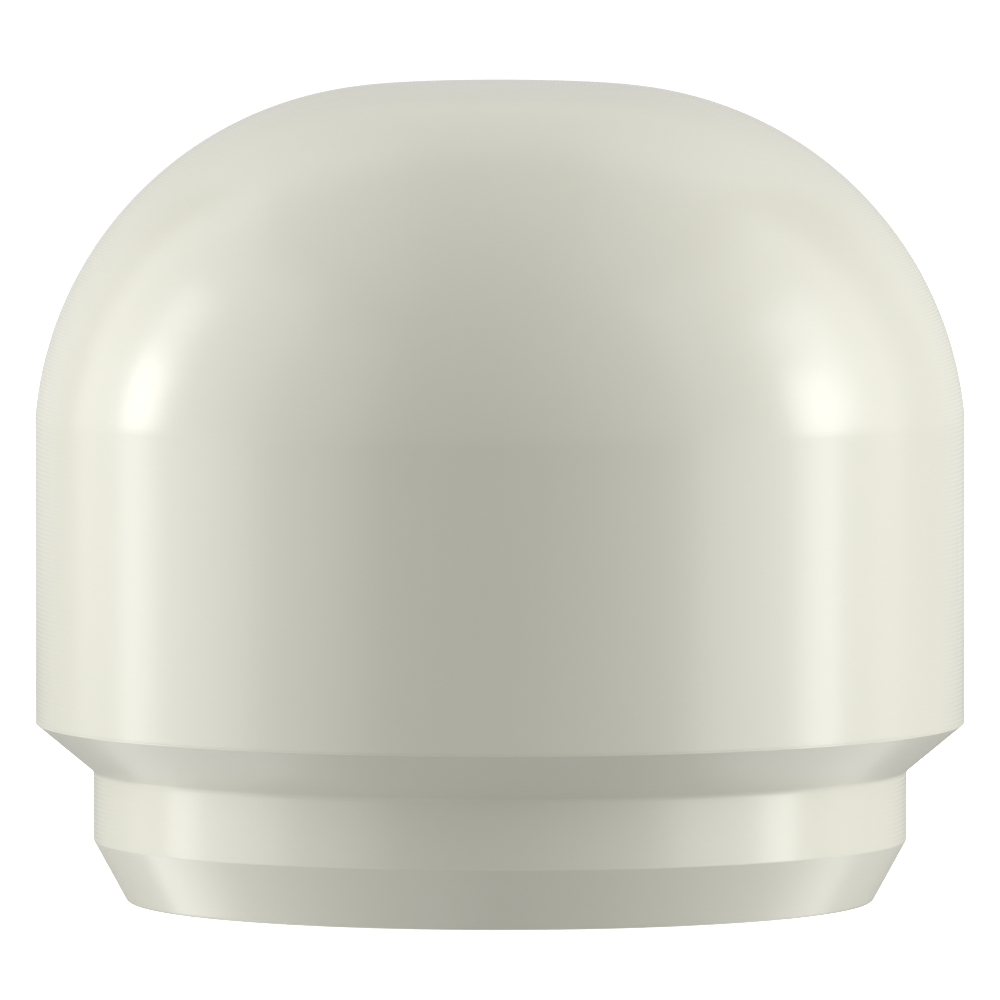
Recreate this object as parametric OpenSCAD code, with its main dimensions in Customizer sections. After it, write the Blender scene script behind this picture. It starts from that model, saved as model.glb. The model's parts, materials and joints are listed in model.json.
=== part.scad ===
// Domed cap for a round tubular fence post: two mouldings drawn together by one screw.
// The origin is on the axis, in the plane where the end of the post tube seats under the cap.
// +Z points up, towards the crown. Sizes are in millimetres.

/* [Post] */
// Outside diameter of the post tube, which the cap finishes flush with
post_d = 60.3; // [57:0.1:64]
// Wall thickness of the post tube
post_wall = 3.6; // [3:0.1:4]
// Gap all round between the spigot and the bore of the tube
post_gap = 0.15; // [0.05:0.05:0.3]

/* [Outline] */
// Height of the crown above the seat
cap_h = 44.5; // [42:0.1:50]
// Diameter of the flat on the crown
crown_d = 13.3; // [12.5:0.1:16]
// How far the arc of the dome would reach past the straight side, which leaves a faint shoulder line
shoulder_bite = 0.1; // [0.05:0.05:0.4]
// Height of the bevel between the seat and the straight side
neck_h = 3.1; // [3:0.1:4]
// Length of the straight part of the spigot
land_h = 4.5; // [4:0.1:6]
// Length of the taper that leads the spigot into the tube
lead_h = 4.0; // [3.5:0.1:5]
// How far the taper comes in, measured on the radius
lead_run = 2.2; // [1:0.1:2.6]

/* [Mouldings] */
// Wall thickness of the dome shell
shell_wall = 3.0; // [2.5:0.1:3.4]
// Thickness of the web across the base plug
web_t = 3.0; // [2.5:0.1:3.5]
// Width of the ring that the plug stands on
foot_w = 2.0; // [1.5:0.1:2.5]
// Height of the straight edge of the plug's flange, which blunts it
rim_land = 0.1; // [0.1:0.1:0.5]
// Height of the lip that locates the plug inside the shell
lip_h = 5.5; // [5:0.1:7]
// Thickness of the locating lip
lip_t = 3.4; // [3:0.1:4]
// Gap all round between the lip and the shell
lip_gap = 0.1; // [0.05:0.05:0.2]
// Thickness of the stiffening ribs in both mouldings
rib_t = 1.8; // [1.5:0.1:2.5]
// Number of stiffening ribs in each moulding
rib_count = 4; // [4:4:8]

/* [Fastening] */
// Thread diameter of the clamp screw
screw_d = 5.0; // [4:1:5]
// Length of the clamp screw under its head
screw_len = 20; // [18:1:22]
// Outside diameter of the threaded insert
insert_d = 7.1; // [6.5:0.1:7.5]
// Length of the threaded insert
insert_len = 9.5; // [8:0.5:10]
// Thickness of the cord that the joint seal is made from, before it is squeezed
seal_cord = 1.8; // [1.8:0.1:2]

/* [Hidden] */
$fn = 96;

ivory = "ivory";

// How far a cutting body runs past the face that it cuts
overcut = 1;

// Outline of the cap
body_r = post_d / 2;
spigot_r = body_r - post_wall - post_gap;
foot_r = spigot_r - lead_run;
foot_z = -land_h - lead_h;
crown_r = crown_d / 2;
dome_r = body_r + shoulder_bite - crown_r;
dome_z = cap_h - dome_r;
joint_z = neck_h + rim_land;

// Base plug
web_rise = 0.5;
plug_boss_drop = 2.5;
plug_boss_r = 6.5;
rib_recess = 2;
lip_chamfer = 0.5;
lip_r = body_r - shell_wall - lip_gap;
lip_top = joint_z + lip_h;
well_r = lip_r - lip_t;
web_top = joint_z + web_rise;
web_z = web_top - web_t;
recess_r = foot_r - foot_w;
plug_boss_z = web_z - plug_boss_drop;
plug_rib_z = foot_z + rib_recess;

// Seal, and the groove that squeezes its cord to a share of its height and lets it bulge sideways
squeezed_share = 0.89;
bulge_share = 1.044;
groove_w = 2.4;
groove_depth = seal_cord * squeezed_share - lip_gap;
groove_z = joint_z + lip_h / 2;
seal_t = groove_depth + lip_gap;
seal_section_r = seal_cord * bulge_share / 2;

// Dome shell
bore_chamfer = 0.4;
boss_gap = 0.5;
shell_rib_rise = 3;
shell_boss_r = 6;
shell_boss_z = web_top + boss_gap;
shell_rib_z = dome_z + shell_rib_rise;

// Threaded insert, and the clear hole above it for the end of the screw
insert_groove_w = 1.5;
insert_groove_depth = 0.45;
insert_pilot_h = 1;
insert_pilot_in = 0.4;
relief_gap = 0.2;
relief_r = screw_d / 2 + relief_gap;
relief_top = cap_h - shell_wall;

// Plain washer and closed spring washer, sized from the thread and counted down from the plug's boss
washer_play = 0.3;
washer_t = 1;
washer_d = screw_d * 2;
washer_bore = screw_d + washer_play;
washer_z = plug_boss_z - washer_t;
spring_play = 0.1;
spring_split_deg = 12;
spring_d = screw_d * 1.84;
spring_bore = screw_d + spring_play;
spring_t = screw_d * 0.24;

// Button-head screw, with the head's sizes as shares of the thread diameter
hex_sides = 6;
point_chamfer = 0.6;
clearance_gap = 0.25;
head_d = screw_d * 1.9;
head_h = screw_d * 0.55;
head_edge_h = screw_d * 0.08;
hex_across = screw_d * 0.6;
hex_depth = screw_d * 0.3;
clearance_r = screw_d / 2 + clearance_gap;
head_z = washer_z - spring_t;
screw_top = head_z + screw_len;

// Half section of the dome, set in from its outside by inset and closed at floor_z
module dome_section(inset, floor_z) {
  side_r = body_r - inset;
  intersection() {
    translate([0, floor_z]) square([side_r, cap_h - floor_z + overcut]);
    union() {
      translate([0, floor_z]) square([side_r, dome_z - floor_z]);
      translate([0, floor_z]) square([crown_r, cap_h - inset - floor_z]);
      translate([crown_r, dome_z]) circle(r = dome_r - inset);
    }
  }
}

// Vertical ribs that meet on the axis and reach out to a radius, from z_low to z_high
module ribs(reach, z_low, z_high) {
  for (i = [0 : rib_count / 2 - 1]) {
    rotate([0, 0, i * 360 / rib_count])
      translate([-reach, -rib_t / 2, z_low])
        cube([2 * reach, rib_t, z_high - z_low]);
  }
}

// A cylinder between two heights, which may taper
module post_between(z_low, z_high, r_low, r_high) {
  translate([0, 0, z_low]) cylinder(h = z_high - z_low, r1 = r_low, r2 = r_high);
}

// Outer moulding: the domed skin with a ribbed boss that holds the threaded insert
module dome_shell() {
  color(ivory)
    difference() {
      rotate_extrude() dome_section(0, joint_z);
      difference() {
        rotate_extrude() dome_section(shell_wall, joint_z - overcut);
        post_between(shell_boss_z, cap_h, shell_boss_r, shell_boss_r);
        ribs(body_r, shell_rib_z, cap_h);
      }
      post_between(
        joint_z - overcut, joint_z + bore_chamfer,
        body_r - shell_wall + bore_chamfer + overcut, body_r - shell_wall
      );
      post_between(shell_boss_z - overcut, shell_boss_z + insert_len, insert_d / 2, insert_d / 2);
      post_between(shell_boss_z, relief_top, relief_r, relief_r);
    }
}

// Inner moulding: flange with the neck bevel, spigot with its lead-in, locating lip and web
module base_plug() {
  color(ivory)
    difference() {
      rotate_extrude()
        polygon([
          [0, foot_z], [foot_r, foot_z], [spigot_r, -land_h], [spigot_r, 0],
          [body_r, neck_h], [body_r, joint_z], [lip_r, joint_z],
          [lip_r, lip_top - lip_chamfer], [lip_r - lip_chamfer, lip_top], [0, lip_top]
        ]);
      post_between(web_top, lip_top + overcut, well_r, well_r);
      difference() {
        post_between(foot_z - overcut, web_z, recess_r, recess_r);
        post_between(plug_boss_z, web_z + overcut, plug_boss_r, plug_boss_r);
        difference() {
          ribs(spigot_r, plug_rib_z, web_z + overcut);
          post_between(foot_z, plug_boss_z, plug_boss_r, plug_boss_r);
        }
      }
      post_between(plug_boss_z - overcut, web_top + overcut, clearance_r, clearance_r);
      difference() {
        post_between(groove_z - groove_w / 2, groove_z + groove_w / 2, body_r, body_r);
        post_between(joint_z, lip_top, lip_r - groove_depth, lip_r - groove_depth);
      }
    }
}

// Rubber ring squeezed between the plug's groove and the bore of the shell
module joint_seal() {
  color("dimgray")
    rotate_extrude()
      translate([lip_r + lip_gap - seal_t / 2, groove_z])
        intersection() {
          circle(r = seal_section_r);
          square([seal_t, 2 * seal_cord], center = true);
        }
}

// Brass insert melted into the boss of the dome shell
module threaded_insert() {
  top_z = shell_boss_z + insert_len;
  mid_z = (shell_boss_z + top_z - insert_pilot_h) / 2;
  color("goldenrod")
    difference() {
      union() {
        post_between(shell_boss_z, top_z - insert_pilot_h, insert_d / 2, insert_d / 2);
        post_between(
          top_z - insert_pilot_h, top_z,
          insert_d / 2 - insert_pilot_in, insert_d / 2 - insert_pilot_in
        );
      }
      post_between(shell_boss_z - overcut, top_z + overcut, screw_d / 2, screw_d / 2);
      translate([0, 0, mid_z - insert_groove_w / 2])
        rotate_extrude()
          translate([insert_d / 2 - insert_groove_depth, 0])
            square([insert_groove_depth + overcut, insert_groove_w]);
    }
}

// Button-head screw that pulls the plug up against the shell
module clamp_screw() {
  head_rise = head_h - head_edge_h;
  head_r = head_d / 2;
  ball_r = (head_r * head_r + head_rise * head_rise) / (2 * head_rise);
  color("silver")
    difference() {
      union() {
        post_between(head_z, screw_top - point_chamfer, screw_d / 2, screw_d / 2);
        post_between(
          screw_top - point_chamfer, screw_top, screw_d / 2, screw_d / 2 - point_chamfer
        );
        intersection() {
          post_between(head_z - head_h - overcut, head_z, head_r, head_r);
          translate([0, 0, head_z - head_h + ball_r]) sphere(r = ball_r);
        }
      }
      translate([0, 0, head_z - head_h - overcut])
        cylinder(h = hex_depth + overcut, r = hex_across / sqrt(3), $fn = hex_sides);
    }
}

// Plain washer against the plastic
module flat_washer() {
  color("gainsboro")
    difference() {
      post_between(washer_z, plug_boss_z, washer_d / 2, washer_d / 2);
      post_between(washer_z - overcut, plug_boss_z + overcut, washer_bore / 2, washer_bore / 2);
    }
}

// Split spring washer, drawn closed up as it sits under the tightened head
module spring_washer() {
  color("darkgray")
    translate([0, 0, head_z])
      rotate_extrude(angle = 360 - spring_split_deg)
        translate([spring_bore / 2, 0])
          square([(spring_d - spring_bore) / 2, spring_t]);
}

dome_shell();
base_plug();
joint_seal();
threaded_insert();
clamp_screw();
flat_washer();
spring_washer();
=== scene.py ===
import json
from math import acos, asin, ceil, cos, pi, radians, sin, sqrt, tan

import bmesh
import bpy
from mathutils import Matrix, Vector


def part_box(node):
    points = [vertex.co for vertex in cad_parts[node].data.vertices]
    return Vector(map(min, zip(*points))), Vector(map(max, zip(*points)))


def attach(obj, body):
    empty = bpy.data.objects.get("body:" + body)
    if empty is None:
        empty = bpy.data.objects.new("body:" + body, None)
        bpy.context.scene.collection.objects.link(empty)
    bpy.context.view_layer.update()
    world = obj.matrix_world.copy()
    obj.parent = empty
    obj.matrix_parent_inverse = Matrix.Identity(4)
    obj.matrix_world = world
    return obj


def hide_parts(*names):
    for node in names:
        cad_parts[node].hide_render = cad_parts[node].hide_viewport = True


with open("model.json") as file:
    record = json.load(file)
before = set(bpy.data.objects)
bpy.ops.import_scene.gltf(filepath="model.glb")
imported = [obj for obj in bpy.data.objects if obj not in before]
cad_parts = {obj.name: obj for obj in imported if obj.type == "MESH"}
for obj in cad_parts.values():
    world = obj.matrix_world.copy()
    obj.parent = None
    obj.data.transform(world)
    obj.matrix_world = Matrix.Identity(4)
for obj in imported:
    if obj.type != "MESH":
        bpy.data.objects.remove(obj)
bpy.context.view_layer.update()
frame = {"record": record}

MM = 0.001

# ---------------------------------------------------------------- sizes, from the frame
SHELL_LO, SHELL_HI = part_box("dome_shell")
PLUG_LO, PLUG_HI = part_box("base_plug")
SEAL_LO, SEAL_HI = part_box("joint_seal")
INSERT_LO, INSERT_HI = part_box("threaded_insert")
SCREW_LO, SCREW_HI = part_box("clamp_screw")
WASHER_LO, WASHER_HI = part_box("flat_washer")
SPRING_LO, SPRING_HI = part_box("spring_washer")
SPIGOT = next(m for m in frame["record"]["mounts"] if m["name"] == "post_spigot")

BODY_R = SHELL_HI[0]
CROWN_Z = SHELL_HI[2]
JOINT_Z = SHELL_LO[2]
FOOT_Z = PLUG_LO[2]
LIP_TOP = PLUG_HI[2]
BORE_R = SEAL_HI[0]
SHELL_WALL = BODY_R - BORE_R
SPIGOT_R = SPIGOT["dims"]["r_mm"] * MM
LAND_Z = -SPIGOT["dims"]["length_mm"] * MM

# Sizes that no box gives, as in the part's own design
CROWN_R = 6.65 * MM
SHOULDER_BITE = 0.1 * MM
RIM_LAND = 0.1 * MM
LEAD_RUN = 2.2 * MM
FOOT_W = 2.0 * MM
LIP_GAP = 0.1 * MM
LIP_T = 3.4 * MM
LIP_CHAMFER = 0.5 * MM
BORE_CHAMFER = 0.4 * MM
WEB_RISE = 0.5 * MM
WEB_T = 3.0 * MM
PLUG_BOSS_R = 6.5 * MM
SHELL_BOSS_R = 6.0 * MM
GROOVE_W = 2.4 * MM
SEAL_CORD = 1.8 * MM
SEAL_SQUEEZED_SHARE = 0.89
RIB_T = 1.8 * MM
RIB_COUNT = 4
PLUG_RIB_RECESS = 2.0 * MM
SHELL_RIB_RISE = 3.0 * MM
SCREW_R = 2.5 * MM
POINT_CHAMFER = 0.6 * MM
CLEARANCE_GAP = 0.25 * MM
RELIEF_GAP = 0.2 * MM
WASHER_PLAY = 0.15 * MM
SPRING_PLAY = 0.05 * MM
SPRING_SPLIT = radians(12)
HEAD_EDGE_H = 0.4 * MM
HEX_ACROSS = 3.0 * MM
HEX_DEPTH = 1.5 * MM
INSERT_PILOT_H = 1.0 * MM
INSERT_PILOT_IN = 0.4 * MM
INSERT_GROOVE_W = 1.5 * MM
INSERT_GROOVE_DEPTH = 0.45 * MM

# Threads and knurls, which the part's own design leaves out
THREAD_PITCH = 0.8 * MM
THREAD_DEPTH = 0.43 * MM
KNURL_DEPTH = 0.22 * MM

# Places and radii that follow from the sizes above
DOME_R = BODY_R + SHOULDER_BITE - CROWN_R
DOME_Z = CROWN_Z - DOME_R
NECK_Z = JOINT_Z - RIM_LAND
FOOT_R = SPIGOT_R - LEAD_RUN
RECESS_R = FOOT_R - FOOT_W
LIP_R = BORE_R - LIP_GAP
WELL_R = LIP_R - LIP_T
WEB_TOP = JOINT_Z + WEB_RISE
WEB_Z = WEB_TOP - WEB_T
PLUG_BOSS_Z = WASHER_HI[2]
SHELL_BOSS_Z = INSERT_LO[2]
GROOVE_Z = (SEAL_LO[2] + SEAL_HI[2]) / 2
GROOVE_R = LIP_R - (SEAL_CORD * SEAL_SQUEEZED_SHARE - LIP_GAP)
SEAL_SECTION_R = (SEAL_HI[2] - SEAL_LO[2]) / 2
PLUG_RIB_Z = FOOT_Z + PLUG_RIB_RECESS
SHELL_RIB_Z = DOME_Z + SHELL_RIB_RISE
INSERT_R = INSERT_HI[0]
CLEARANCE_R = SCREW_R + CLEARANCE_GAP
RELIEF_R = SCREW_R + RELIEF_GAP
RELIEF_TOP = CROWN_Z - SHELL_WALL
HEAD_R = SCREW_HI[0]
HEAD_Z = SPRING_LO[2]

# How the meshes are made: points round a turned piece, the turn between points of a rounded edge, the
# gap to the point that keeps a flat's shading flat, the radius of small edges, and of the joint's edges
SEGMENTS = 288
ARC_STEP = radians(9)
SUPPORT = 0.12 * MM
EDGE = 0.12 * MM
JOINT_EDGE = 0.025 * MM
# Edges that turn by more than this are shaded sharp
SHARP = radians(32)
# Two places nearer than this are the same place
SAME = 1e-7


# ---------------------------------------------------------------- mesh tools
def rounded(corners, closed=False):
    """Turns corners (r, z) or (r, z, radius) into outline points. A corner with a radius becomes an arc,
    with a point a little way off at each end of it that keeps the shading of the flats beside it flat."""
    count = len(corners)
    points = []
    for i, corner in enumerate(corners):
        here = Vector(corner[:2])
        radius = corner[2] if len(corner) > 2 else 0
        is_end = not closed and i in (0, count - 1)
        if not radius or is_end:
            points.append(tuple(here))
            continue
        back = Vector(corners[i - 1][:2]) - here
        ahead = Vector(corners[(i + 1) % count][:2]) - here
        half = back.angle(ahead) / 2
        reach = radius / tan(half)
        to_back, to_ahead = back.normalized(), ahead.normalized()
        centre = here + (to_back + to_ahead).normalized() * (radius / sin(half))
        first, last = here + to_back * reach, here + to_ahead * reach
        start, end = first - centre, last - centre
        turn = start.angle_signed(end)
        steps = max(2, ceil(abs(turn) / ARC_STEP))
        if back.length > reach + 2 * SUPPORT:
            points.append(tuple(first + to_back * SUPPORT))
        for k in range(steps + 1):
            arm = start.copy()
            arm.rotate(Matrix.Rotation(-turn * k / steps, 2))
            points.append(tuple(centre + arm))
        if ahead.length > reach + 2 * SUPPORT:
            points.append(tuple(last + to_ahead * SUPPORT))
    return points


def arc(centre_r, centre_z, radius, start, end, steps):
    """Outline points along an arc. Angles are above the horizontal, in radians."""
    angles = [start + (end - start) * k / steps for k in range(steps + 1)]
    return [(centre_r + radius * cos(a), centre_z + radius * sin(a)) for a in angles]


def new_object(name, data):
    thing = bpy.data.objects.new(name, data)
    bpy.context.scene.collection.objects.link(thing)
    return thing


def shade(mesh):
    """Shades a mesh smooth except across its sharp edges."""
    mesh.shade_smooth()
    mesh.set_sharp_from_angle(angle=SHARP)


def finished(name, bm):
    """Makes a shaded object of a bmesh."""
    bmesh.ops.recalc_face_normals(bm, faces=bm.faces)
    mesh = bpy.data.meshes.new(name)
    bm.to_mesh(mesh)
    bm.free()
    shade(mesh)
    return new_object(name, mesh)


def lathe(name, outline, closed=False, segments=SEGMENTS, warp=None):
    """Turns an outline of (r, z) points about Z. An open outline starts and ends on the axis.
    warp(angle, r, z) may give a point its own radius, for threads and knurls."""
    bm = bmesh.new()
    rings = []
    for r, z in outline:
        if r < SAME:
            rings.append([bm.verts.new((0, 0, z))])
            continue
        ring = []
        for k in range(segments):
            angle = 2 * pi * k / segments
            radius = warp(angle, r, z) if warp else r
            ring.append(bm.verts.new((radius * cos(angle), radius * sin(angle), z)))
        rings.append(ring)
    pairs = list(zip(rings, rings[1:]))
    if closed:
        pairs.append((rings[-1], rings[0]))
    for lower, upper in pairs:
        for k in range(segments):
            j = (k + 1) % segments
            a, b = lower[k % len(lower)], lower[j % len(lower)]
            c, d = upper[j % len(upper)], upper[k % len(upper)]
            corners = list(dict.fromkeys((a, b, c, d)))
            bm.faces.new(corners)
    return finished(name, bm)


def between_ends(name, near_points, far_points):
    """A solid between two flat ends that have the same number of points."""
    bm = bmesh.new()
    near = [bm.verts.new(point) for point in near_points]
    far = [bm.verts.new(point) for point in far_points]
    bm.faces.new(near)
    bm.faces.new(far[::-1])
    for i in range(len(near)):
        j = (i + 1) % len(near)
        bm.faces.new((near[i], near[j], far[j], far[i]))
    return finished(name, bm)


def prism(name, outline, thickness):
    """A plate in the XZ plane with this outline, centred on Y."""
    half = thickness / 2
    return between_ends(name, [(x, -half, z) for x, z in outline], [(x, half, z) for x, z in outline])


def bar(name, section, x_low, x_high):
    """A bar along X with this (y, z) section."""
    return between_ends(name, [(x_low, y, z) for y, z in section], [(x_high, y, z) for y, z in section])


def combine(piece, tool, operation):
    """Applies one boolean to piece and removes the tool."""
    modifier = piece.modifiers.new("cut", "BOOLEAN")
    modifier.operation = operation
    modifier.solver = "EXACT"
    modifier.object = tool
    bpy.context.view_layer.update()
    evaluated = piece.evaluated_get(bpy.context.evaluated_depsgraph_get())
    mesh = bpy.data.meshes.new_from_object(evaluated)
    piece.modifiers.clear()
    piece.data = mesh
    shade(mesh)
    bpy.data.objects.remove(tool)


def add_ribs(piece, make_rib):
    """Joins ribs to piece, evenly spaced round it."""
    for i in range(RIB_COUNT):
        rib = make_rib()
        rib.data.transform(Matrix.Rotation(2 * pi * i / RIB_COUNT, 4, "Z"))
        combine(piece, rib, "UNION")


# ---------------------------------------------------------------- the two mouldings
def shoulder_angle(inset):
    """Where the dome's arc, set in by inset, meets the straight side, above the horizontal."""
    return acos((BODY_R - inset - CROWN_R) / (DOME_R - inset))


def make_dome_shell():
    inner_r = BODY_R - SHELL_WALL
    dome_steps = 72
    outside = arc(CROWN_R, DOME_Z, DOME_R, pi / 2, shoulder_angle(0), dome_steps)
    inside = arc(CROWN_R, DOME_Z, DOME_R - SHELL_WALL, shoulder_angle(SHELL_WALL), pi / 2, dome_steps)
    shoulder_z = outside[-1][1]
    inner_shoulder_z = inside[0][1]
    outline = rounded(
        [(0, CROWN_Z), (CROWN_R / 2, CROWN_Z)]
        + outside
        + [
            (BODY_R, shoulder_z - SUPPORT),
            (BODY_R, JOINT_Z, JOINT_EDGE),
            (inner_r + BORE_CHAMFER, JOINT_Z, EDGE / 2),
            (inner_r, JOINT_Z + BORE_CHAMFER, EDGE / 2),
            (inner_r, inner_shoulder_z - SUPPORT),
        ]
        + inside
        + [
            (SHELL_BOSS_R, CROWN_Z - SHELL_WALL, 0.4 * MM),
            (SHELL_BOSS_R, SHELL_BOSS_Z, 0.3 * MM),
            (INSERT_R, SHELL_BOSS_Z, EDGE / 2),
            (INSERT_R, INSERT_HI[2]),
            (RELIEF_R, INSERT_HI[2]),
            (RELIEF_R, RELIEF_TOP, 0.8 * MM),
            (0, RELIEF_TOP),
        ]
    )
    piece = lathe("Dome_Shell", outline)
    wall_mid = SHELL_WALL / 2
    rib_arc_start = asin((SHELL_RIB_Z - DOME_Z) / (DOME_R - wall_mid))
    rib_outline = (
        [(SHELL_BOSS_R - wall_mid, SHELL_RIB_Z)]
        + arc(CROWN_R, DOME_Z, DOME_R - wall_mid, rib_arc_start, pi / 2, 24)
        + [(SHELL_BOSS_R - wall_mid, CROWN_Z - wall_mid)]
    )
    add_ribs(piece, lambda: prism("rib", rib_outline, RIB_T))
    return piece


def make_base_plug():
    outline = rounded(
        [
            (CLEARANCE_R, PLUG_BOSS_Z, EDGE),
            (PLUG_BOSS_R, PLUG_BOSS_Z, 0.3 * MM),
            (PLUG_BOSS_R, WEB_Z, 0.5 * MM),
            (RECESS_R, WEB_Z, 0.8 * MM),
            (RECESS_R, FOOT_Z, 0.3 * MM),
            (FOOT_R, FOOT_Z, 0.35 * MM),
            (SPIGOT_R, LAND_Z, 0.15 * MM),
            (SPIGOT_R, 0, 0.4 * MM),
            (BODY_R, NECK_Z, JOINT_EDGE),
            (BODY_R, JOINT_Z, JOINT_EDGE),
            (LIP_R, JOINT_Z, EDGE),
            (LIP_R, GROOVE_Z - GROOVE_W / 2, EDGE),
            (GROOVE_R, GROOVE_Z - GROOVE_W / 2, EDGE),
            (GROOVE_R, GROOVE_Z + GROOVE_W / 2, EDGE),
            (LIP_R, GROOVE_Z + GROOVE_W / 2, EDGE),
            (LIP_R, LIP_TOP - LIP_CHAMFER, EDGE),
            (LIP_R - LIP_CHAMFER, LIP_TOP, EDGE),
            (WELL_R, LIP_TOP, 0.3 * MM),
            (WELL_R, WEB_TOP, 0.8 * MM),
            (CLEARANCE_R, WEB_TOP, EDGE),
        ],
        closed=True,
    )
    piece = lathe("Base_Plug", outline, closed=True)
    # The ribs run a little way into the web, the boss and the wall, so that they join them
    half = RIB_T / 2
    rib_edge = 0.35 * MM
    buried_top = WEB_Z + 1 * MM
    section = rounded(
        [
            (-half, buried_top),
            (-half, PLUG_RIB_Z, rib_edge),
            (half, PLUG_RIB_Z, rib_edge),
            (half, buried_top),
        ]
    )
    inner_end = PLUG_BOSS_R - 0.05 * MM
    outer_end = RECESS_R + 1.2 * MM
    add_ribs(piece, lambda: bar("rib", section, inner_end, outer_end))
    return piece


# ---------------------------------------------------------------- fixings and seal
def thread_radius(angle, z, low, high, crest):
    """Radius of a single-start thread at this point, fading in and out over one turn at its ends."""
    turn = (z / THREAD_PITCH - angle / (2 * pi)) % 1
    flank_slope = 2.6
    flat_crest = 0.15
    hollow = min(1, max(0, flank_slope * abs(turn - 0.5) - flat_crest))
    fade = min(1, max(0, (z - low) / THREAD_PITCH), max(0, (high - z) / THREAD_PITCH))
    return crest - THREAD_DEPTH * hollow * fade


def make_hex_key():
    """The body that cuts the hex socket, which starts clear below the head."""
    run_out = 1 * MM
    key = bmesh.new()
    made = bmesh.ops.create_circle(key, cap_ends=True, radius=HEX_ACROSS / sqrt(3), segments=6)
    bmesh.ops.translate(key, verts=made["verts"], vec=(0, 0, SCREW_LO[2] - run_out))
    raised = bmesh.ops.extrude_face_region(key, geom=key.faces[:])
    top = [v for v in raised["geom"] if isinstance(v, bmesh.types.BMVert)]
    bmesh.ops.translate(key, verts=top, vec=(0, 0, HEX_DEPTH + run_out))
    return finished("key", key)


def make_clamp_screw():
    low = SCREW_LO[2]
    dome_h = HEAD_Z - HEAD_EDGE_H - low
    ball_r = (HEAD_R**2 + dome_h**2) / (2 * dome_h)
    swing = asin(HEAD_R / ball_r)
    head = arc(0, low + ball_r, ball_r, -pi / 2, -pi / 2 + swing, 24)
    thread_low = HEAD_Z + 1.2 * MM
    thread_high = SCREW_HI[2] - 0.2 * MM
    point_z = SCREW_HI[2] - POINT_CHAMFER
    rows_per_turn = 14
    row = THREAD_PITCH / rows_per_turn
    rows = int((point_z - thread_low) / row)
    outline = rounded(
        [(0, low)]
        + head[1:]
        + [
            (HEAD_R, HEAD_Z, 0.15 * MM),
            (SCREW_R, HEAD_Z, 0.2 * MM),
            (SCREW_R, thread_low),
        ]
        + [(SCREW_R, thread_low + row * (k + 1)) for k in range(rows)]
        + [(SCREW_R, point_z), (SCREW_R - POINT_CHAMFER, SCREW_HI[2]), (0, SCREW_HI[2])]
    )

    def warp(angle, r, z):
        if z < thread_low or abs(r - SCREW_R) > SAME:
            return r
        return thread_radius(angle, z, thread_low, thread_high, SCREW_R)

    piece = lathe("Clamp_Screw", outline, segments=96, warp=warp)
    combine(piece, make_hex_key(), "DIFFERENCE")
    return piece


def make_threaded_insert():
    """A bushing with a threaded bore and two knurled bands, which lean opposite ways."""
    low, high = INSERT_LO[2], INSERT_HI[2]
    pilot_z = high - INSERT_PILOT_H
    pilot_r = INSERT_R - INSERT_PILOT_IN
    middle = (low + pilot_z) / 2
    groove_half = INSERT_GROOVE_W / 2
    root = INSERT_R - INSERT_GROOVE_DEPTH
    bands = [(low + 0.3 * MM, middle - groove_half, 1), (middle + groove_half, pilot_z, -1)]
    teeth = 36
    lead = 2 * MM
    row = 0.1 * MM
    rows_per_turn = 12
    mouth_r = SCREW_R + 0.2 * MM
    crest = SCREW_R + 0.02 * MM

    def band_rows(start, end):
        steps = round((end - start) / row)
        return [(INSERT_R, start + (end - start) * k / steps) for k in range(steps + 1)]

    thread_rows = round((high - low) / (THREAD_PITCH / rows_per_turn))
    bore = [(SCREW_R, high - (high - low) * k / thread_rows) for k in range(1, thread_rows)]
    outline = (
        [(mouth_r, low), (INSERT_R - 0.2 * MM, low)]
        + band_rows(*bands[0][:2])
        + [(root, middle - groove_half), (root, middle + groove_half)]
        + band_rows(*bands[1][:2])
        + [(pilot_r, pilot_z), (pilot_r, high), (mouth_r, high)]
        + bore
    )

    def warp(angle, r, z):
        if abs(r - SCREW_R) < SAME:
            return thread_radius(angle, z, low, high, crest)
        for start, end, hand in bands:
            if abs(r - INSERT_R) < SAME and start - SAME <= z <= end + SAME:
                lean = hand * (z - start) / lead
                tooth = abs((angle * teeth / (2 * pi) + lean) % 1 - 0.5) * 2
                return r - KNURL_DEPTH * tooth
        return r

    return lathe("Threaded_Insert", outline, closed=True, segments=216, warp=warp)


def make_joint_seal():
    centre_r = (GROOVE_R + BORE_R) / 2
    flat = (BORE_R - GROOVE_R) / 2
    ease = acos(flat / SEAL_SECTION_R)
    steps = 20
    outer_arc = arc(centre_r, GROOVE_Z, SEAL_SECTION_R, ease, pi - ease, steps)
    inner_arc = arc(centre_r, GROOVE_Z, SEAL_SECTION_R, pi + ease, 2 * pi - ease, steps)
    return lathe("Joint_Seal", outer_arc + inner_arc, closed=True)


def make_flat_washer():
    """A stamped ring, with a rounder edge at the bottom outside, where the punch went in."""
    low, high = WASHER_LO[2], WASHER_HI[2]
    bore_r = SCREW_R + WASHER_PLAY
    edge = 0.08 * MM
    outline = rounded(
        [
            (bore_r, low, edge),
            (WASHER_HI[0], low, 0.22 * MM),
            (WASHER_HI[0], high, edge),
            (bore_r, high, edge),
        ],
        closed=True,
    )
    return lathe("Flat_Washer", outline, closed=True, segments=144)


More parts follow.
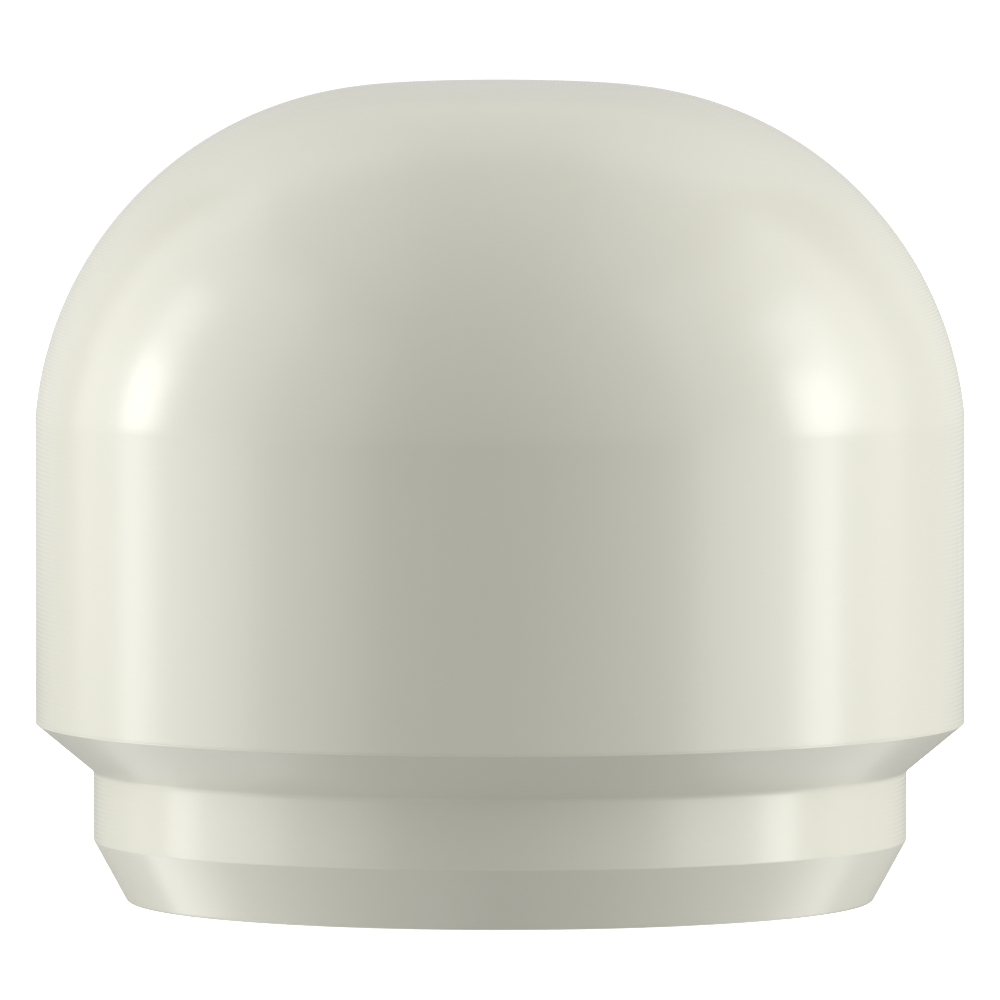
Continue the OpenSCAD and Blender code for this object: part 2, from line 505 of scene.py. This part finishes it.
def make_spring_washer():
    """A flattened split ring: its section swept round all but the split, with both ends closed."""
    low, high = SPRING_LO[2], SPRING_HI[2]
    bore_r = SCREW_R + SPRING_PLAY
    edge = 0.1 * MM
    section = rounded(
        [
            (bore_r, low, edge),
            (SPRING_HI[0], low, edge),
            (SPRING_HI[0], high, edge),
            (bore_r, high, edge),
        ],
        closed=True,
    )
    steps = 120
    bm = bmesh.new()
    rings = []
    for k in range(steps + 1):
        angle = (2 * pi - SPRING_SPLIT) * k / steps
        rings.append([bm.verts.new((r * cos(angle), r * sin(angle), z)) for r, z in section])
    for lower, upper in zip(rings, rings[1:]):
        for i in range(len(section)):
            j = (i + 1) % len(section)
            bm.faces.new((lower[i], lower[j], upper[j], upper[i]))
    bm.faces.new(rings[0])
    bm.faces.new(rings[-1][::-1])
    return finished("Spring_Washer", bm)


# ---------------------------------------------------------------- materials
class Nodes:
    """A short way to build a material's node tree."""

    def __init__(self, name):
        self.material = bpy.data.materials.new(name)
        self.material.use_nodes = True
        self.tree = self.material.node_tree
        self.shader = self.tree.nodes["Principled BSDF"]

    def add(self, kind, inputs=None, **settings):
        node = self.tree.nodes.new(kind)
        for key, value in settings.items():
            setattr(node, key, value)
        for key, value in (inputs or {}).items():
            if isinstance(value, bpy.types.NodeSocket):
                self.tree.links.new(value, node.inputs[key])
            else:
                node.inputs[key].default_value = value
        return node

    def math(self, operation, *values):
        return self.add("ShaderNodeMath", dict(enumerate(values)), operation=operation).outputs[0]

    def link(self, output, socket):
        self.tree.links.new(output, self.shader.inputs[socket])

    def position(self):
        return self.add("ShaderNodeTexCoord").outputs["Object"]

    def turned_distance(self, z_sign):
        """The distance that runs along a turned surface: z_sign * z + radius from the axis, in metres."""
        parts = self.add("ShaderNodeSeparateXYZ", {0: self.position()})
        flat = self.add("ShaderNodeCombineXYZ", {0: parts.outputs[0], 1: parts.outputs[1]})
        length = self.add("ShaderNodeVectorMath", {0: flat.outputs[0]}, operation="LENGTH")
        height = self.math("MULTIPLY", parts.outputs[2], z_sign)
        return self.math("ADD", height, length.outputs["Value"])

    def noise(self, scale, detail):
        """Cloudy variation about the object, from 0 to 1. A larger scale makes it finer."""
        settings = {"Vector": self.position(), "Scale": scale, "Detail": detail}
        return self.add("ShaderNodeTexNoise", settings).outputs["Fac"]

    def rings(self, distance, pitch, wander=2.0):
        """Ripples from 0 to 1 along a turned surface, which wander a little round it as tool marks do."""
        drift = self.math("MULTIPLY", self.noise(45, 1), 2 * pi * wander)
        phase = self.math("MULTIPLY_ADD", distance, 2 * pi / pitch, drift)
        return self.math("MULTIPLY_ADD", self.math("SINE", phase), 0.5, 0.5)

    def between(self, factor, low, high):
        node = self.add("ShaderNodeMapRange", {"Value": factor, "To Min": low, "To Max": high})
        return node.outputs["Result"]

    def bump(self, height, distance, strength=1.0, normal=None):
        node = self.add("ShaderNodeBump", {"Height": height, "Distance": distance, "Strength": strength})
        if normal:
            self.tree.links.new(normal, node.inputs["Normal"])
        return node.outputs["Normal"]

    def mix(self, factor, one, two):
        node = self.add("ShaderNodeMix", {"Factor": factor}, data_type="RGBA")
        sockets = {s.name: s for s in [*node.inputs, *node.outputs] if s.enabled}
        sockets["A"].default_value = (*one, 1)
        sockets["B"].default_value = (*two, 1)
        return sockets["Result"]


def ivory_plastic(name, z_sign):
    """Glossy moulded plastic: fine rings from the turned mould, a faint ripple, and slightly uneven
    colour. z_sign is 1 where the surface rises as it goes outwards, and -1 where it falls."""
    m = Nodes(name)
    distance = m.turned_distance(z_sign)
    duller, paler = (0.712, 0.708, 0.603), (0.752, 0.743, 0.648)
    cloud = m.noise(55, 3)
    m.link(m.mix(m.between(cloud, 0.1, 0.9), duller, paler), "Base Color")
    fine = m.rings(distance, 0.29 * MM)
    broad = m.rings(distance, 0.43 * MM, 3.0)
    m.link(m.between(fine, 0.2, 0.26), "Roughness")
    ripple = m.noise(700, 2)
    normal = m.bump(ripple, 0.004 * MM)
    normal = m.bump(broad, 0.0006 * MM, 1.0, normal)
    normal = m.bump(fine, 0.0003 * MM, 1.0, normal)
    m.link(normal, "Normal")
    m.shader.inputs["IOR"].default_value = 1.49
    return m.material


def turned_metal(name, dark, light, roughness):
    """Turned or stamped metal: fine circular marks, with a little unevenness in colour and gloss."""
    m = Nodes(name)
    distance = m.turned_distance(1)
    fine = m.rings(distance, 0.07 * MM)
    cloud = m.noise(420, 4)
    m.link(m.mix(cloud, dark, light), "Base Color")
    m.link(m.between(fine, roughness - 0.08, roughness + 0.1), "Roughness")
    ringed = m.bump(fine, 0.006 * MM, 0.6)
    m.link(m.bump(cloud, 0.01 * MM, 0.4, ringed), "Normal")
    m.shader.inputs["Metallic"].default_value = 1.0
    return m.material


def seal_rubber():
    """Black moulded rubber with a fine matt grain."""
    m = Nodes("seal_rubber")
    grain = m.noise(3200, 3)
    cloud = m.noise(180, 2)
    m.link(m.mix(cloud, (0.012, 0.012, 0.013), (0.03, 0.03, 0.031)), "Base Color")
    m.link(m.between(grain, 0.55, 0.75), "Roughness")
    m.link(m.bump(grain, 0.01 * MM, 0.5), "Normal")
    return m.material


def pale_floor():
    """A nearly white floor that gives off a little light, so that it stays evenly pale."""
    m = Nodes("floor")
    grain = m.noise(30, 2)
    m.link(m.mix(grain, (0.93, 0.93, 0.93), (0.95, 0.95, 0.95)), "Base Color")
    m.shader.inputs["Roughness"].default_value = 0.9
    m.shader.inputs["Emission Color"].default_value = (1, 1, 1, 1)
    m.shader.inputs["Emission Strength"].default_value = 0.75
    return m.material


# ---------------------------------------------------------------- stage, lights and camera
def make_floor():
    """A wide floor under the cap. It is hidden from diffuse and glossy rays, so that it neither lights the
    cap nor is mirrored in it."""
    half_width = 6
    bm = bmesh.new()
    bmesh.ops.create_grid(bm, x_segments=8, y_segments=8, size=half_width)
    floor = finished("Floor", bm)
    floor.location.z = FOOT_Z
    floor.data.materials.append(pale_floor())
    floor.visible_diffuse = False
    floor.visible_glossy = False


def aim(thing, target):
    direction = Vector(target) - thing.location
    thing.rotation_euler = direction.to_track_quat("-Z", "Y").to_euler()


def softbox(name, azimuth, elevation, width, height, radiance, target):
    """A rectangular light. All four angles are in degrees. azimuth is measured to the right from the
    camera's side of the cap. width and height are the angles that the light fills as seen from target."""
    distance = 0.6
    light = bpy.data.lights.new(name, "AREA")
    light.shape = "RECTANGLE"
    light.size = 2 * distance * tan(radians(width / 2))
    light.size_y = 2 * distance * tan(radians(height / 2))
    light.energy = radiance * pi * light.size * light.size_y
    lamp = new_object(name, light)
    a, e = radians(azimuth), radians(elevation)
    offset = Vector((sin(a) * cos(e), -cos(a) * cos(e), sin(e))) * distance
    lamp.location = Vector(target) + offset
    aim(lamp, target)
    lamp.visible_camera = False


def make_lights(middle):
    """Softboxes beside the cap, brightest in the middle, with weaker light above, behind and below."""
    softbox("left_main", -112, 22, 34, 56, 1.1, middle)
    softbox("left_core_low", -99, -6, 14, 18, 2.9, middle)
    softbox("left_core_mid", -99, 11, 14, 16, 6.7, middle)
    softbox("left_core_high", -99, 27, 14, 16, 2.7, middle)
    softbox("left_front", -76, 16, 28, 64, 1.35, middle)
    softbox("left_front_low", -76, -6, 34, 20, 0.7, middle)
    softbox("left_far", -46, 10, 28, 60, 0.75, middle)
    softbox("left_low", -105, -28, 50, 26, 1.3, middle)
    softbox("left_table", -80, -60, 60, 36, 0.5, middle)
    softbox("right_main", 101, 22, 34, 56, 1.3, middle)
    softbox("right_core_low", 84, -6, 14, 18, 4.5, middle)
    softbox("right_core_mid", 84, 11, 14, 16, 4.2, middle)
    softbox("right_core_wide", 88, 11, 23, 16, 3.1, middle)
    softbox("right_core_high", 88, 27, 23, 16, 2.5, middle)
    softbox("right_front", 62, 20, 28, 60, 1.0, middle)
    softbox("right_front_low", 62, -6, 30, 20, 1.0, middle)
    softbox("right_far", 40, 10, 28, 60, 0.15, middle)
    softbox("right_low", 105, -28, 50, 26, 0.6, middle)
    softbox("right_table", 80, -60, 60, 36, 0.15, middle)
    softbox("under_left", -149, -45, 50, 30, 0.9, middle)
    softbox("under_right", 149, -45, 50, 30, 0.9, middle)
    softbox("high_left", -95, 62, 70, 26, 0.35, middle)
    softbox("high_right", 95, 62, 70, 26, 0.28, middle)
    softbox("high_back", 180, 50, 60, 40, 0.4, middle)
    softbox("back_wall", 180, 12, 80, 34, 0.25, middle)


def make_world():
    world = bpy.data.worlds.new("studio")
    bpy.context.scene.world = world
    world.use_nodes = True
    background = world.node_tree.nodes["Background"]
    background.inputs["Color"].default_value = (1, 1, 1, 1)
    background.inputs["Strength"].default_value = 0.35


def make_camera():
    """A long lens, a little above the horizon, with the cap filling the frame."""
    elevation = radians(3.75)
    body_share = 0.929
    top_margin_share = 0.0787
    frame_width = 2 * BODY_R / body_share
    top_margin = top_margin_share * frame_width
    lens = 900
    camera_data = bpy.data.cameras.new("camera")
    camera_data.lens = lens
    camera_data.sensor_width = 36
    distance = frame_width * lens / camera_data.sensor_width
    camera_data.clip_start = distance / 10
    camera_data.clip_end = distance * 4
    camera = new_object("camera", camera_data)
    # The crown's far edge is the top of the silhouette. It sits about top_margin below the picture's top.
    silhouette_top = CROWN_Z * cos(elevation) + CROWN_R * sin(elevation)
    aim_height = (silhouette_top + top_margin - frame_width / 2) / cos(elevation)
    target = Vector((0, 0, aim_height))
    camera.location = target + Vector((0, -cos(elevation), sin(elevation))) * distance
    aim(camera, target)
    bpy.context.scene.camera = camera


# ---------------------------------------------------------------- assembly
def place(piece, node, material):
    piece.data.materials.clear()
    piece.data.materials.append(material)
    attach(piece, "root")
    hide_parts(node)


place(make_dome_shell(), "dome_shell", ivory_plastic("ivory_shell", -1))
place(make_base_plug(), "base_plug", ivory_plastic("ivory_plug", 1))
place(make_joint_seal(), "joint_seal", seal_rubber())
place(
    make_threaded_insert(),
    "threaded_insert",
    turned_metal("insert_brass", (0.62, 0.42, 0.16), (0.75, 0.55, 0.25), 0.3),
)
place(
    make_clamp_screw(),
    "clamp_screw",
    turned_metal("screw_steel", (0.5, 0.5, 0.51), (0.62, 0.62, 0.63), 0.3),
)
place(
    make_flat_washer(),
    "flat_washer",
    turned_metal("washer_steel", (0.52, 0.52, 0.53), (0.66, 0.66, 0.67), 0.34),
)
place(
    make_spring_washer(),
    "spring_washer",
    turned_metal("spring_steel", (0.42, 0.43, 0.45), (0.52, 0.53, 0.55), 0.36),
)

make_floor()
make_lights((0, 0, (CROWN_Z + FOOT_Z) / 2))
make_world()
make_camera()
bpy.context.scene.view_settings.view_transform = "Standard"
